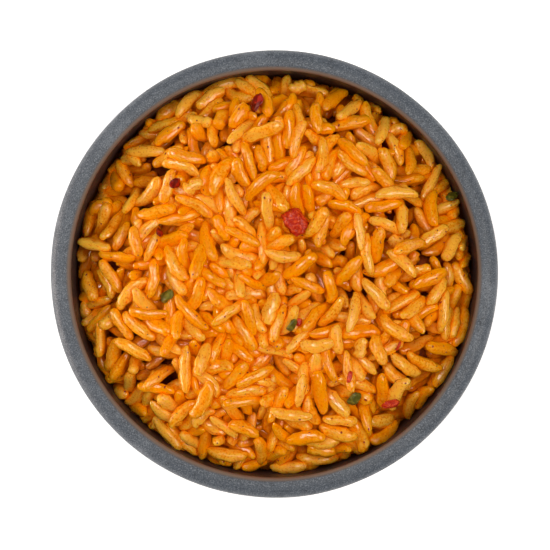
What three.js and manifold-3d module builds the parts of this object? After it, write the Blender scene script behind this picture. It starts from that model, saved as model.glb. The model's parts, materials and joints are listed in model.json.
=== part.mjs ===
// A bowl of seasoned rice: a stoneware side bowl, the heap of rice that fills it and a piece of diced
// tomato lying in the heap.
//
// Millimetres, +Z up. The origin is the centre of the foot ring's flat face. +Y points to the top of the
// photograph, which looks straight down into the bowl, and +X to its right.
import * as THREE from "three";
import { mergeVertices } from "three/addons/utils/BufferGeometryUtils.js";
import Module from "manifold-3d";

// ---- Driving dimensions ---------------------------------------------------------------------------

const RIM_RADIUS = 54; // outside of the rim
const BOWL_HEIGHT = 52;
const RIM_WIDTH = 4.9; // seen from above, from outer edge to inner edge
const RIM_CREST = 1.6; // the rim's highest line lies this far out from its inner edge
const RIM_OUTER_DROP = 2.8; // from the crest down to the outer edge
const RIM_INNER_DROP = 1.4; // from the crest down to the inner edge
const RIM_ROUNDNESS = 2.1; // exponent of the crown: 2 is an ellipse, more is flatter with tighter edges

const FOOT_RADIUS = 31; // outside of the foot ring
const FOOT_WIDTH = 4.5;
const FOOT_HEIGHT = 3;
const FOOT_EDGE = 0.6; // bevel along the foot ring's flat face
const FOOT_RECESS = 2.4; // the underside inside the foot ring is this much higher than the flat face
const FLOOR_THICKNESS = 6;
const WALL_TAPER = 0.6; // the upper wall leans out by this much from its shoulder to the rim
const SHOULDER_HEIGHT = 34; // below it the wall curves in to the foot

const HEAP_GAP = 0.3; // between the rice and the glaze
const HEAP_RISE = 3.0; // the middle of the heap above the rim
const HEAP_EDGE_DROP = 12.0; // the heap at the wall below the rim
const HEAP_SHOULDER = 9; // exponent of the heap's profile: more is flatter with a steeper shoulder
const HEAP_GRID = 2.05; // step of the heap's relief

const GRAIN_LENGTH = 9.6; // a cooked long grain
const GRAIN_WIDTH = 2.9;
const GRAIN_COUNT = 620; // grains that show as relief on the heap

const TOMATO_SIZE = new THREE.Vector3(6.2, 4.6, 3.8);
const TOMATO_PLACE = new THREE.Vector2(5.1, 12.4);
const TOMATO_HEADING = THREE.MathUtils.degToRad(-52); // its long side runs down to the right
const TOMATO_TILT = THREE.MathUtils.degToRad(9);
const TOMATO_SINK = 0.72; // share of its thickness that lies below the heap's skin
const TOMATO_ROUNDNESS = 3.2; // exponent of its rounded edges

const SECTORS = 64; // round the bowl
const WALL_STEPS = 7; // along each curved stretch of the wall
const CROWN_STEPS = 4; // on each side of the rim's crest
const TOMATO_STEPS = 5;

// Long low waves that leave the heap uneven: how high, how long, which way they run and where they start.
const HEAP_WAVES = [
  { height: 0.75, length: 61, heading: 0.5, start: 0.4 },
  { height: 0.6, length: 38, heading: 2.1, start: 1.9 },
  { height: 0.45, length: 23, heading: 1.2, start: 4.0 },
  { height: 0.35, length: 17, heading: 2.8, start: 2.6 },
];

// Hollows where the rice stands back from the wall: which way from the middle, how deep and how wide.
const WALL_HOLLOWS = [
  { azimuth: 27, depth: 6.2, width: 7 },
  { azimuth: 67, depth: 3.0, width: 5 },
  { azimuth: 98, depth: 3.0, width: 6 },
  { azimuth: 154, depth: 7.0, width: 8 },
  { azimuth: 188, depth: 6.0, width: 7 },
  { azimuth: 218, depth: 3.2, width: 5 },
  { azimuth: 271, depth: 3.2, width: 6 },
  { azimuth: 311, depth: 5.4, width: 6 },
];
const HOLLOW_RADIUS = 45; // the hollows' middles lie on this circle

// ---- Materials ------------------------------------------------------------------------------------

const stoneware = new THREE.MeshStandardMaterial({ color: 0x6a7078, roughness: 0.5, metalness: 0 });
const cookedRice = new THREE.MeshStandardMaterial({ color: 0xe27f20, roughness: 0.4, metalness: 0 });
const tomatoFlesh = new THREE.MeshStandardMaterial({ color: 0xc8321a, roughness: 0.3, metalness: 0 });

// ---- The bowl's outline ---------------------------------------------------------------------------

const INNER_RADIUS = RIM_RADIUS - RIM_WIDTH;
const FLOOR_HEIGHT = FOOT_RECESS + FLOOR_THICKNESS;

// The outside, from the foot ring's flat face up to the rim's outer edge.
function outerWall() {
  const shoulder = RIM_RADIUS - WALL_TAPER;
  const path = new THREE.Path();
  path.moveTo(FOOT_RADIUS - FOOT_EDGE, 0);
  path.lineTo(FOOT_RADIUS, FOOT_EDGE);
  path.lineTo(FOOT_RADIUS, FOOT_HEIGHT);
  path.bezierCurveTo(
    FOOT_RADIUS + 0.68 * (shoulder - FOOT_RADIUS),
    FOOT_HEIGHT + 1.5,
    shoulder - 0.5,
    FOOT_HEIGHT + 0.42 * (SHOULDER_HEIGHT - FOOT_HEIGHT),
    shoulder,
    SHOULDER_HEIGHT,
  );
  path.lineTo(RIM_RADIUS, BOWL_HEIGHT - RIM_OUTER_DROP);
  return path.getPoints(WALL_STEPS);
}

// The rim's rounded top between its edges, from the outer side over the crest to the inner side.
function rimCrown() {
  const crest = INNER_RADIUS + RIM_CREST;
  const power = 2 / RIM_ROUNDNESS;
  const points = [];
  for (let i = 1; i < 2 * CROWN_STEPS; i++) {
    const turn = (Math.PI / 2) * (i / CROWN_STEPS);
    const outside = i < CROWN_STEPS;
    const reach = outside ? RIM_RADIUS - crest : INNER_RADIUS - crest;
    const drop = outside ? RIM_OUTER_DROP : RIM_INNER_DROP;
    points.push(
      new THREE.Vector2(
        crest + reach * Math.abs(Math.cos(turn)) ** power,
        BOWL_HEIGHT - drop * (1 - Math.sin(turn) ** power),
      ),
    );
  }
  return points;
}

// The inside, from the rim's inner edge down the wall and in to the middle of the floor.
function innerWall() {
  const shoulder = INNER_RADIUS - WALL_TAPER;
  const path = new THREE.Path();
  path.moveTo(INNER_RADIUS, BOWL_HEIGHT - RIM_INNER_DROP);
  path.lineTo(shoulder, SHOULDER_HEIGHT);
  path.bezierCurveTo(
    shoulder - 0.5,
    FLOOR_HEIGHT + 0.35 * (SHOULDER_HEIGHT - FLOOR_HEIGHT),
    0.78 * shoulder,
    FLOOR_HEIGHT,
    0.4 * shoulder,
    FLOOR_HEIGHT,
  );
  path.lineTo(0, FLOOR_HEIGHT);
  return path.getPoints(WALL_STEPS);
}

// The underside, from the middle out to the inner edge of the foot ring's flat face.
function underside() {
  const footInside = FOOT_RADIUS - FOOT_WIDTH;
  return [
    new THREE.Vector2(0, FOOT_RECESS),
    new THREE.Vector2(footInside, FOOT_RECESS),
    new THREE.Vector2(footInside, FOOT_EDGE),
    new THREE.Vector2(footInside + FOOT_EDGE, 0),
  ];
}

// An outline turned round the Z axis.
function turned(outline) {
  return new THREE.LatheGeometry(outline, SECTORS).rotateX(Math.PI / 2);
}

function bowlGeometry() {
  return turned([...underside(), ...outerWall(), ...rimCrown(), ...innerWall()]);
}

// ---- The heap's uneven top ------------------------------------------------------------------------

// The same pseudo-random numbers from 0 to 1 at every run.
function seededRandom(seed) {
  let state = seed;
  return () => {
    state = (state + 0x6d2b79f5) | 0;
    let mixed = Math.imul(state ^ (state >>> 15), 1 | state);
    mixed = (mixed + Math.imul(mixed ^ (mixed >>> 7), 61 | mixed)) ^ mixed;
    return ((mixed ^ (mixed >>> 14)) >>> 0) / 2 ** 32;
  };
}

// Grains that lie on the heap at random, each a centre and a heading.
function scatteredGrains() {
  const random = seededRandom(7);
  return Array.from({ length: GRAIN_COUNT }, () => {
    const radius = INNER_RADIUS * Math.sqrt(random());
    const azimuth = 2 * Math.PI * random();
    const heading = Math.PI * random();
    return {
      x: radius * Math.cos(azimuth),
      y: radius * Math.sin(azimuth),
      cos: Math.cos(heading),
      sin: Math.sin(heading),
      lift: 0.75 * random(),
    };
  });
}

// The heap's height without its grains: a flat dome with low waves and hollows along the wall.
function heapSkin(x, y) {
  const outwards = Math.hypot(x, y) / INNER_RADIUS;
  const dome = HEAP_RISE - (HEAP_RISE + HEAP_EDGE_DROP) * outwards ** HEAP_SHOULDER;
  const waves = HEAP_WAVES.reduce((sum, wave) => {
    const along = x * Math.cos(wave.heading) + y * Math.sin(wave.heading);
    return sum + wave.height * Math.sin((2 * Math.PI * along) / wave.length + wave.start);
  }, 0);
  const hollows = WALL_HOLLOWS.reduce((sum, hollow) => {
    const azimuth = THREE.MathUtils.degToRad(hollow.azimuth);
    const away = Math.hypot(
      x - HOLLOW_RADIUS * Math.cos(azimuth),
      y - HOLLOW_RADIUS * Math.sin(azimuth),
    );
    return sum + hollow.depth * Math.exp(-((away / hollow.width) ** 2));
  }, 0);
  return BOWL_HEIGHT + dome + waves - hollows;
}

// How far the highest grain at a point stands above the skin.
function grainRelief(x, y, grains) {
  let highest = 0;
  for (const grain of grains) {
    const dx = x - grain.x;
    const dy = y - grain.y;
    const along = (dx * grain.cos + dy * grain.sin) / (GRAIN_LENGTH / 2);
    const across = (dy * grain.cos - dx * grain.sin) / (GRAIN_WIDTH / 2);
    const inside = 1 - along ** 2 - across ** 2;
    if (inside > 0) highest = Math.max(highest, (GRAIN_WIDTH / 2) * Math.sqrt(inside) + grain.lift);
  }
  return highest;
}

// A block whose top face is the heap's relief, and whose bottom lies below the bowl's floor.
function reliefBlock() {
  const side = 2 * INNER_RADIUS + 2 * HEAP_GRID;
  const steps = Math.round(side / HEAP_GRID);
  const grains = scatteredGrains();
  const block = new THREE.BoxGeometry(side, side, BOWL_HEIGHT, steps, steps, 1);
  block.translate(0, 0, BOWL_HEIGHT / 2);
  const position = block.attributes.position;
  for (let i = 0; i < position.count; i++) {
    if (position.getZ(i) > BOWL_HEIGHT / 2) {
      const x = position.getX(i);
      const y = position.getY(i);
      position.setZ(i, heapSkin(x, y) + grainRelief(x, y, grains) - GRAIN_WIDTH / 2);
    }
  }
  return block;
}

// The room inside the bowl, drawn in from the glaze by the gap and carried up past the rim.
function roomInBowl() {
  const headroom = BOWL_HEIGHT + 3 * HEAP_RISE;
  const wall = innerWall()
    .reverse()
    .map((point) => new THREE.Vector2(Math.max(0, point.x - HEAP_GAP), point.y + HEAP_GAP));
  const top = new THREE.Vector2(INNER_RADIUS - HEAP_GAP, headroom);
  return turned([...wall, top, new THREE.Vector2(0, headroom)]);
}

// ---- The tomato piece -----------------------------------------------------------------------------

// A cube's faces drawn out to a rounded block of the given size.
function roundedBlock(size) {
  const block = new THREE.BoxGeometry(2, 2, 2, TOMATO_STEPS, TOMATO_STEPS, TOMATO_STEPS);
  const position = block.attributes.position;
  const point = new THREE.Vector3();
  for (let i = 0; i < position.count; i++) {
    point.fromBufferAttribute(position, i);
    const reach =
      (Math.abs(point.x) ** TOMATO_ROUNDNESS +
        Math.abs(point.y) ** TOMATO_ROUNDNESS +
        Math.abs(point.z) ** TOMATO_ROUNDNESS) **
      (1 / TOMATO_ROUNDNESS);
    point.divideScalar(reach).multiply(size).multiplyScalar(0.5);
    position.setXYZ(i, point.x, point.y, point.z);
  }
  return block;
}

// Puts the tomato piece, or the pocket cut for it, where it lies in the heap.
function layInHeap(object) {
  const skin = heapSkin(TOMATO_PLACE.x, TOMATO_PLACE.y);
  const lift = (0.5 - TOMATO_SINK) * TOMATO_SIZE.z;
  object.position.set(TOMATO_PLACE.x, TOMATO_PLACE.y, skin + lift);
  object.rotation.set(TOMATO_TILT, 0, TOMATO_HEADING);
  object.updateMatrixWorld(true);
  return object;
}

// ---- Cutting --------------------------------------------------------------------------------------

const wasm = await Module();
wasm.setup();

function solidFrom(geometry) {
  const bare = geometry.clone();
  bare.deleteAttribute("normal");
  bare.deleteAttribute("uv");
  const merged = mergeVertices(bare);
  return new wasm.Manifold(
    new wasm.Mesh({
      numProp: 3,
      vertProperties: merged.attributes.position.array,
      triVerts: new Uint32Array(merged.index.array),
    }),
  );
}

function geometryFrom(solid) {
  const mesh = solid.getMesh();
  const geometry = new THREE.BufferGeometry();
  geometry.setAttribute("position", new THREE.BufferAttribute(mesh.vertProperties, 3));
  geometry.setIndex(new THREE.BufferAttribute(mesh.triVerts, 1));
  geometry.computeVertexNormals();
  return geometry;
}

// The relief kept within the bowl, with a pocket for the tomato piece.
function heapGeometry() {
  const room = TOMATO_SIZE.clone().addScalar(2 * HEAP_GAP);
  const pocket = layInHeap(new THREE.Mesh(roundedBlock(room)));
  const pocketGeometry = pocket.geometry.applyMatrix4(pocket.matrixWorld);
  return geometryFrom(
    solidFrom(roomInBowl()).intersect(solidFrom(reliefBlock())).subtract(solidFrom(pocketGeometry)),
  );
}

// ---- The object -----------------------------------------------------------------------------------

function named(name, geometry, material) {
  const mesh = new THREE.Mesh(geometry, material);
  mesh.name = name;
  return mesh;
}

const bowlOfRice = new THREE.Group();
bowlOfRice.add(named("bowl", bowlGeometry(), stoneware));
bowlOfRice.add(named("rice_heap", heapGeometry(), cookedRice));
bowlOfRice.add(layInHeap(named("tomato_piece", roundedBlock(TOMATO_SIZE), tomatoFlesh)));

export default bowlOfRice;
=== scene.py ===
"""A small stoneware bowl heaped with seasoned rice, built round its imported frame, in metres.

The bowl is turned from its outline, the grains are settled one against another over a smaller core,
and bits of tomato, pepper and spice lie among them. The camera looks straight down, as the photograph does.
"""

import json
import math
from typing import NamedTuple

import bmesh
import bpy
import numpy as np
from mathutils import Matrix, Vector, noise
from mathutils.bvhtree import BVHTree
from mathutils.kdtree import KDTree

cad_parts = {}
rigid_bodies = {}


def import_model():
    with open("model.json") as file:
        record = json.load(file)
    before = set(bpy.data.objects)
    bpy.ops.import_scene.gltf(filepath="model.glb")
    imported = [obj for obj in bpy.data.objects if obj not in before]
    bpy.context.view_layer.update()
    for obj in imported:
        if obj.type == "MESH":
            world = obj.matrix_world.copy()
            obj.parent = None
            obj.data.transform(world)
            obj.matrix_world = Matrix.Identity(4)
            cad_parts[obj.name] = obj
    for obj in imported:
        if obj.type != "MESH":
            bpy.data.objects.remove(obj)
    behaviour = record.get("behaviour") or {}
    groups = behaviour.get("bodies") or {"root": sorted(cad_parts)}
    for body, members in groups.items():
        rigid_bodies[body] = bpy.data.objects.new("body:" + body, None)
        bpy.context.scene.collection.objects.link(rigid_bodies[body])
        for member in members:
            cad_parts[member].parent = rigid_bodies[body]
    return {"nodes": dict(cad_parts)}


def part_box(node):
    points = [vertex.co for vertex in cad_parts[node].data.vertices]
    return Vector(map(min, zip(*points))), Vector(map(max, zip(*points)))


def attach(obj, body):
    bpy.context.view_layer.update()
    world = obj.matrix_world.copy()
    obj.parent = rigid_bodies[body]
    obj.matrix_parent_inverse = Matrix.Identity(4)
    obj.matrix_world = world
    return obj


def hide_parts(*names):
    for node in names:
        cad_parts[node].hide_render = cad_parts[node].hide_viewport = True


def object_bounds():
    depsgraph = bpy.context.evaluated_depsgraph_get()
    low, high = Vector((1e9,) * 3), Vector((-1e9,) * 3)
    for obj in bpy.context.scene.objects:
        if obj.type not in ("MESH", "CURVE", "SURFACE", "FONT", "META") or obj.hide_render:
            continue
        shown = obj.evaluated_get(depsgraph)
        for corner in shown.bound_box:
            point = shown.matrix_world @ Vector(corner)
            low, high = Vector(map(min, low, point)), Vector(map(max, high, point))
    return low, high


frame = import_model()
CAD_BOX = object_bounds()

bl_info = {
    "name": "Bowl of seasoned rice",
    "version": (1, 0, 0),
    "blender": (4, 5, 0),
    "location": "3D View > Sidebar > Rice bowl",
    "description": "Builds a stoneware bowl heaped with seasoned long-grain rice",
    "category": "Add Mesh",
}

MM = 0.001
BODY = "root"
FULL_TURN = 2 * math.pi

# ---- What the frame gives -------------------------------------------------------------------------

BOWL_LOW, BOWL_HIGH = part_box("bowl")
TOMATO_LOW, TOMATO_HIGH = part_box("tomato_piece")
RIM_RADIUS = (BOWL_HIGH.x - BOWL_LOW.x) / 2
RIM_HEIGHT = BOWL_HIGH.z

# ---- What the photograph gives --------------------------------------------------------------------
# Pixels of its 550 by 550 frame: the circle of the rim's outer edge.

IMAGE_SIZE = 550
PHOTO_CENTRE_X = 274.1
PHOTO_CENTRE_Y = 274.0
PHOTO_RIM_RADIUS = 224.6
# Hollows between the rice and the wall: the azimuth of each one's middle and its half width, in degrees.
WALL_HOLLOWS = {
    "right": (27, 11),
    "top_right": (68, 5),
    "top": (101, 5),
    "upper_left": (153, 14),
    "left": (187, 8),
    "lower_left": (218, 5),
    "bottom": (270, 6),
    "bottom_right": (311, 9),
}


def linear_colour(code):
    """The linear RGBA of an sRGB hex code such as #E08020."""
    shares = [int(code[i : i + 2], 16) / 255 for i in (1, 3, 5)]
    return (*[s / 12.92 if s <= 0.04045 else ((s + 0.055) / 1.055) ** 2.4 for s in shares], 1.0)


# ---- Settings -------------------------------------------------------------------------------------


def length_setting(name, description, millimetres):
    """A length in metres, stated in millimetres."""
    return bpy.props.FloatProperty(
        name=name,
        description=description,
        default=millimetres * MM,
        unit="LENGTH",
        subtype="DISTANCE",
        precision=5,
    )


def colour_setting(name, description, code):
    """A colour, stated as an sRGB hex code."""
    return bpy.props.FloatVectorProperty(
        name=name,
        description=description,
        default=linear_colour(code),
        subtype="COLOR",
        size=4,
        min=0,
        max=1,
    )


class DishSettings(bpy.types.PropertyGroup):
    """Sizes and glaze of the stoneware bowl."""

    rim_width: length_setting("Rim width", "From the outer to the inner edge, seen from above", 4.9)
    rim_crest: length_setting("Rim crest", "How far the rim's highest line lies from its inner edge", 1.6)
    outer_drop: length_setting("Outer drop", "From the rim's crest down to its outer edge", 2.8)
    inner_drop: length_setting("Inner drop", "From the rim's crest down to its inner edge", 1.4)
    taper: length_setting("Taper", "How far the upper wall leans out", 0.6)
    shoulder: length_setting("Shoulder height", "Below it the wall curves in to the foot", 34)
    foot_radius: length_setting("Foot radius", "Outside of the foot ring", 31)
    foot_width: length_setting("Foot width", "Width of the foot ring", 4.5)
    foot_height: length_setting("Foot height", "From the foot's flat face up to the wall", 3)
    foot_edge: length_setting("Foot edge", "Rounding along the foot's flat face", 0.6)
    recess: length_setting("Recess", "How far the underside stands above the foot's flat face", 2.4)
    floor: length_setting("Floor thickness", "Thickness of the bowl's floor", 6)
    unevenness: length_setting("Unevenness", "How far the hand-thrown wall wanders", 0.35)
    sectors: bpy.props.IntProperty(name="Sectors", description="Faces round the bowl", default=224, min=3)
    glaze: colour_setting("Glaze", "Slate glaze where it is even", "#545B64")
    # Dark speckles of the glaze; also the painted shade on the inner and outer wall.
    glaze_speckle_and_shade: colour_setting("Dark glaze", "Glaze where it pooled or speckled dark", "#2C3036")
    glaze_light: colour_setting("Light glaze", "Glaze where it is thin or speckled light", "#8C9299")
    # The lip colour is a painted reflection of the rice's orange light on the glaze.
    lip: colour_setting("Lip", "Clay that shows through along the inner lip", "#8A7868")
    clay: colour_setting("Clay", "Bare clay of the foot", "#6A5B4F")


class RiceSettings(bpy.types.PropertyGroup):
    """Size, number and colours of the grains."""

    grain_length: length_setting("Grain length", "Mean length of a cooked grain", 9.5)
    grain_width: length_setting("Grain width", "Mean width of a cooked grain", 3.25)
    grain_thickness: length_setting("Grain thickness", "Mean thickness of a cooked grain", 2.75)
    grains: bpy.props.IntProperty(name="Grains", description="Loose grains", default=1270, min=1)
    loose_depth: length_setting("Loose depth", "How far the core lies below the heap's surface", 7.6)
    edge_thinning: bpy.props.FloatProperty(
        name="Edge thinning", description="How much fewer grains start beside the wall", default=0.85
    )
    clumping: bpy.props.FloatProperty(
        name="Clumping", description="How uneven the heap is, from clumps of grains", default=1.4, min=0
    )
    seed: bpy.props.IntProperty(name="Seed", description="Which of the random heaps", default=11, min=0)
    stain: colour_setting("Stain", "Rice stained by its seasoning", "#F8A800")
    starch: colour_setting("Starch", "Pale starchy rice", "#FFC65C")
    film: colour_setting("Oil film", "Red oil that clings to the grains", "#E68A00")
    powder: colour_setting("Powder", "Ground seasoning that mottles the grains", "#C85400")
    fleck: colour_setting("Fine spice", "The finest spice on the grains", "#7A2408")
    # Painted shade: the darker colour given to rice that lies deep in the heap.
    core: colour_setting("Core", "Rice deep in the heap", "#8A3A06")


class BitsSettings(bpy.types.PropertyGroup):
    """Bits of vegetable and spice among the grains."""

    tomato: colour_setting("Tomato", "Red tomato flesh", "#B4220A")
    tomato_pale: colour_setting("Pale tomato", "Tomato pulp near the seeds", "#E0521E")
    tomato_skin: colour_setting("Tomato skin", "Dark red skin", "#6A0E06")
    pepper: colour_setting("Pepper", "Cooked green pepper", "#8A7C20")
    pepper_dark: colour_setting("Dark pepper", "Skin side of the pepper", "#565210")
    spice: colour_setting("Spice", "Ground dark spice", "#5A1C08")
    chilli: colour_setting("Chilli", "Red chilli flakes", "#B8220A")
    spice_size: length_setting("Spice size", "Mean width of a spice fleck", 0.34)
    chilli_size: length_setting("Chilli size", "Mean width of a chilli flake", 0.6)
    spice_density: bpy.props.FloatProperty(
        name="Spice density", description="Flecks on each square metre of grain", default=45000, min=0
    )
    chilli_density: bpy.props.FloatProperty(
        name="Chilli density", description="Flakes on each square metre of grain", default=15000, min=0
    )


class StageSettings(bpy.types.PropertyGroup):
    """Camera, lights and floor."""

    camera_height: length_setting("Camera height", "Camera above the floor", 640)
    key_power: bpy.props.FloatProperty(name="Key", description="Watts of the key light", default=2.3)
    far_power: bpy.props.FloatProperty(name="Far", description="Watts of the light opposite", default=2.7)
    side_power: bpy.props.FloatProperty(name="Side", description="Watts of the low side light", default=4.5)
    fill: bpy.props.FloatProperty(name="Fill", description="Strength of the light all round", default=0.46)
    floor_glow: bpy.props.FloatProperty(name="Floor glow", description="The floor's own light", default=0.6)
    floor: colour_setting("Floor", "Plain pale floor", "#F7F6F4")


# ---- Building blocks ------------------------------------------------------------------------------


def socket_of(sockets, key):
    """The socket with that number, that identifier, or else the first usable one with that name."""
    if isinstance(key, int):
        return sockets[key]
    exact = [s for s in sockets if s.identifier == key]
    return (exact or [s for s in sockets if s.name == key and s.enabled])[0]


def set_inputs(tree, node, inputs):
    """Fills a node's inputs with values or with outputs. A node stands for its own first output."""
    for key, value in inputs.items():
        socket = socket_of(node.inputs, key)
        if isinstance(value, bpy.types.Node):
            value = value.outputs[0]
        if isinstance(value, bpy.types.NodeSocket):
            tree.links.new(value, socket)
        else:
            socket.default_value = value


def add_node(tree, kind, settings=None, inputs=None):
    """Adds a node, sets its properties and fills its inputs."""
    node = tree.nodes.new(kind)
    for name, value in (settings or {}).items():
        setattr(node, name, value)
    set_inputs(tree, node, inputs or {})
    return node


def new_piece(name, mesh, material=None):
    """Puts a mesh into the scene as an object at the origin."""
    piece = bpy.data.objects.new(name, mesh)
    bpy.context.scene.collection.objects.link(piece)
    if material:
        mesh.materials.append(material)
    return piece


def mesh_of(name, points, faces):
    """A smooth mesh from points and faces."""
    mesh = bpy.data.meshes.new(name)
    mesh.from_pydata([tuple(p) for p in points], [], [tuple(f) for f in faces])
    mesh.update()
    mesh.shade_smooth()
    return mesh


def face_outwards(mesh):
    """Merges doubled points and turns every face of a closed mesh outwards."""
    form = bmesh.new()
    form.from_mesh(mesh)
    bmesh.ops.remove_doubles(form, verts=form.verts, dist=1e-7)
    bmesh.ops.recalc_face_normals(form, faces=form.faces)
    form.to_mesh(mesh)
    form.free()


def ringed_mesh(name, points, rings, around):
    """A closed smooth mesh through one point, then rings of points, and one last point."""
    faces = []
    for ring in range(rings - 1):
        for k in range(around):
            a, b = 1 + ring * around + k, 1 + ring * around + (k + 1) % around
            faces.append((a, a + around, b + around, b))
    last = 1 + (rings - 1) * around
    for k in range(around):
        faces.append((0, 1 + k, 1 + (k + 1) % around))
        faces.append((last + k, len(points) - 1, last + (k + 1) % around))
    mesh = mesh_of(name, points, faces)
    face_outwards(mesh)
    return mesh


def mesh_from(form, name):
    """The mesh that a bmesh holds. The bmesh is freed."""
    mesh = bpy.data.meshes.new(name)
    form.to_mesh(mesh)
    form.free()
    return mesh


def new_tree(name, sockets):
    """A Geometry Nodes tree with the named inputs and one geometry output."""
    tree = bpy.data.node_groups.new(name, "GeometryNodeTree")
    for label, kind in sockets.items():
        tree.interface.new_socket(label, in_out="INPUT", socket_type=kind)
    tree.interface.new_socket("Geometry", in_out="OUTPUT", socket_type="NodeSocketGeometry")
    return tree


def end_tree(tree, geometry, material):
    """Ends a tree: realizes what it made, shades it smooth, gives it its material and hands it out."""
    real = add_node(tree, "GeometryNodeRealizeInstances", inputs={"Geometry": geometry})
    smooth = add_node(tree, "GeometryNodeSetShadeSmooth", inputs={"Geometry": real})
    finished = add_node(tree, "GeometryNodeSetMaterial", inputs={"Geometry": smooth, "Material": material})
    add_node(tree, "NodeGroupOutput", inputs={"Geometry": finished})


def made_by(tree, name, mesh, values):
    """The plain mesh piece that a tree makes from a mesh with these input values."""
    piece = new_piece(name, mesh)
    modifier = piece.modifiers.new("Shape", "NODES")
    modifier.node_group = tree
    for label, value in values.items():
        modifier[tree.interface.items_tree[label].identifier] = value
    graph = bpy.context.evaluated_depsgraph_get()
    made = bpy.data.meshes.new_from_object(
        piece.evaluated_get(graph), preserve_all_data_layers=True, depsgraph=graph
    )
    piece.modifiers.clear()
    made.materials.clear()
    made.materials.append(values["Material"])
    made.polygons.foreach_set("material_index", [0] * len(made.polygons))
    piece.data = made
    made.name = name
    bpy.data.meshes.remove(mesh)
    return piece


def new_material(name):
    """A new material, its tree, its Principled shader joined to the output, and its Object coordinates."""
    material = bpy.data.materials.new(name)
    material.use_nodes = True
    tree = material.node_tree
    tree.nodes.clear()
    shader = add_node(tree, "ShaderNodeBsdfPrincipled")
    add_node(tree, "ShaderNodeOutputMaterial", inputs={"Surface": shader})
    return material, tree, shader, add_node(tree, "ShaderNodeTexCoord").outputs["Object"]


def weighted_sum(tree, terms):
    """The sum of measures, each times its weight."""
    total = 0.0
    for weight, value in terms:
        total = add_node(
            tree, "ShaderNodeMath", {"operation": "MULTIPLY_ADD"}, {0: value, 1: weight, 2: total}
        )
    return total


def mixed_colours(tree, colour, mixes):
    """Mixes colours into the first one, in turn.

    Each mix holds its measure, the measure's values where it starts and where it is full, its share when
    full, and its colour.
    """
    for measure, start, full, share, mixed_in in mixes:
        amount = add_node(
            tree,
            "ShaderNodeMapRange",
            {"interpolation_type": "SMOOTHSTEP"},
            {"Value": measure, "From Min": start, "From Max": full, "To Max": share},
        )
        mix = add_node(
            tree,
            "ShaderNodeMix",
            {"data_type": "RGBA"},
            {"Factor_Float": amount, "A_Color": colour, "B_Color": mixed_in},
        )
        colour = mix.outputs[2]
    return colour


# ---- The bowl -------------------------------------------------------------------------------------


def bezier(start, pull_start, pull_end, end, steps):
    """Points on a cubic curve, without its first one."""
    t = np.linspace(0, 1, steps + 1)[1:, None]
    a, b, c, d = (np.array(p) for p in (start, pull_start, pull_end, end))
    return ((1 - t) ** 3 * a + 3 * (1 - t) ** 2 * t * b + 3 * (1 - t) * t**2 * c + t**3 * d).tolist()


def crown_quarter(crest, reach, drop, steps):
    """A quarter of the rim's crown, from its edge up to the crest. A negative reach is the inner side."""
    fullness = 2.1  # 2 is an ellipse
    turns = [math.pi / 2 * i / steps for i in range(steps + 1)]
    return [
        [
            crest + reach * max(0.0, math.cos(turn)) ** (2 / fullness),
            RIM_HEIGHT - drop * (1 - math.sin(turn) ** (2 / fullness)),
        ]
        for turn in turns
    ]


def inner_wall(dish, steps=26):
    """The inside of the bowl, from the rim's inner edge down the wall and in to the middle."""
    inner = RIM_RADIUS - dish.rim_width
    shoulder = inner - dish.taper
    floor = dish.recess + dish.floor
    return [
        [inner, RIM_HEIGHT - dish.inner_drop],
        [shoulder + dish.taper / 2, (RIM_HEIGHT - dish.inner_drop + dish.shoulder) / 2],
        [shoulder, dish.shoulder],
        *bezier(
            (shoulder, dish.shoulder),
            (shoulder - 0.5 * MM, floor + 0.35 * (dish.shoulder - floor)),
            (0.78 * shoulder, floor),
            (0.4 * shoulder, floor),
            steps,
        ),
        [0.2 * shoulder, floor],
        [0, floor],
    ]


def bowl_outline(dish):
    """The bowl's whole outline, from the middle of its underside round to the middle of its floor."""
    inner = RIM_RADIUS - dish.rim_width
    crest = inner + dish.rim_crest
    shoulder = RIM_RADIUS - dish.taper
    foot_inside = dish.foot_radius - dish.foot_width
    edge = dish.foot_edge
    outer_edge = RIM_HEIGHT - dish.outer_drop
    foot = [
        [0, dish.recess],
        [foot_inside - 2 * edge, dish.recess],
        [foot_inside - 0.3 * edge, dish.recess - 0.3 * edge],
        [foot_inside, dish.recess - edge],
        [foot_inside, edge],
        [foot_inside + 0.3 * edge, 0.3 * edge],
        [foot_inside + edge, 0],
        [dish.foot_radius - edge, 0],
        [dish.foot_radius - 0.3 * edge, 0.3 * edge],
        [dish.foot_radius, edge],
        [dish.foot_radius, dish.foot_height - edge],
    ]
    wall = bezier(
        (dish.foot_radius, dish.foot_height),
        (dish.foot_radius + 0.68 * (shoulder - dish.foot_radius), dish.foot_height + 1.5 * MM),
        (shoulder - 0.5 * MM, dish.foot_height + 0.42 * (dish.shoulder - dish.foot_height)),
        (shoulder, dish.shoulder),
        30,
    )
    upper = [
        [shoulder + dish.taper * share, dish.shoulder + (outer_edge - dish.shoulder) * share]
        for share in (0.25, 0.5, 0.75)
    ]
    outside = crown_quarter(crest, RIM_RADIUS - crest, dish.outer_drop, 14)
    inside = crown_quarter(crest, inner - crest, dish.inner_drop, 9)
    return [*foot, *wall, *upper, *outside, *reversed(inside[:-1]), *inner_wall(dish)[1:]]


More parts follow.
